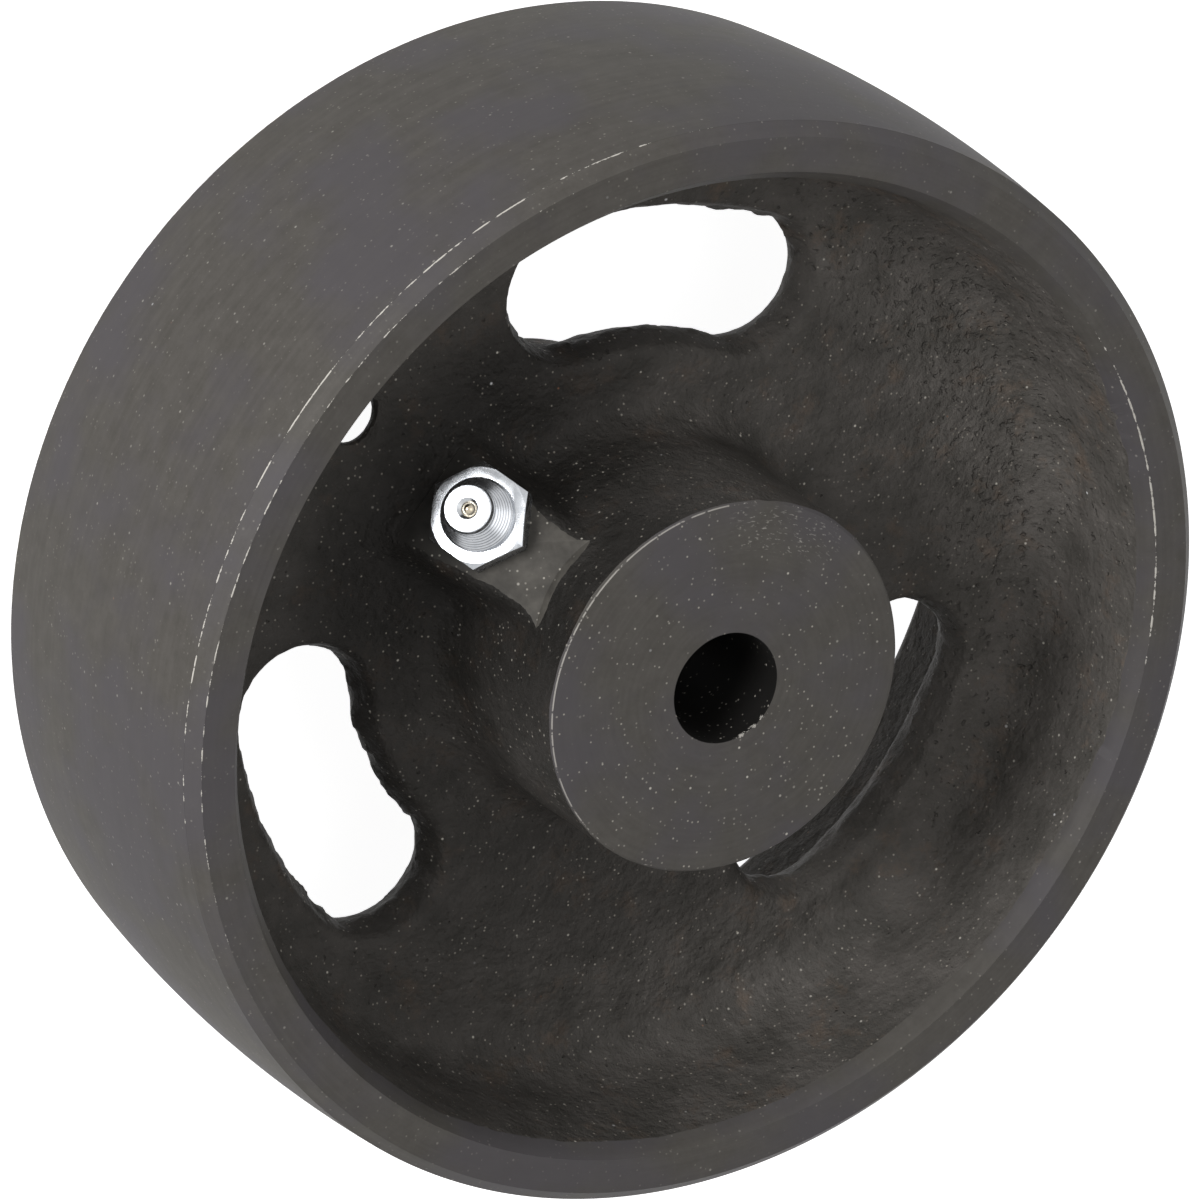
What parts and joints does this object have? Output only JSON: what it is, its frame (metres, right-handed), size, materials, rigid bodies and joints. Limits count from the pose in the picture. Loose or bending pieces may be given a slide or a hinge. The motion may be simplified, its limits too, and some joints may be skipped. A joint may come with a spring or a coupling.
{
  "type": "cast iron trolley wheel",
  "caption": "Cast iron trolley wheel with a crowned tread, slotted web, plain bore and a grease nipple on a slanted boss.",
  "frame": {"origin": "centre of the hub's back face, which the wheel rests on", "axes": "+Z along the wheel's axis towards the side with the grease nipple; one slot lies close to +Y"},
  "size_m": [0.15, 0.15, 0.062],
  "materials": {
    "cast_iron": "black lacquer, thin over turned faces and as cast elsewhere",
    "zinc_plate": "bright zinc plate over turned steel",
    "ball_steel": "polished",
    "spring_steel": "drawn wire"
  },
  "bodies": {
    "wheel": {"wheel_casting": "cast_iron", "grease_nipple": "zinc_plate", "nipple_spring": "spring_steel"},
    "ball": {"check_ball": "ball_steel"}
  },
  "joints": [
    {"name": "ball_lift", "type": "slide", "parent": "wheel", "child": "ball", "axis": [0.67, -0.3714, -0.6428], "range_m": [0, 0.001], "stiffness_N_per_m": 300, "springref_m": -0.002, "deforming": ["nipple_spring"]}
  ]
}
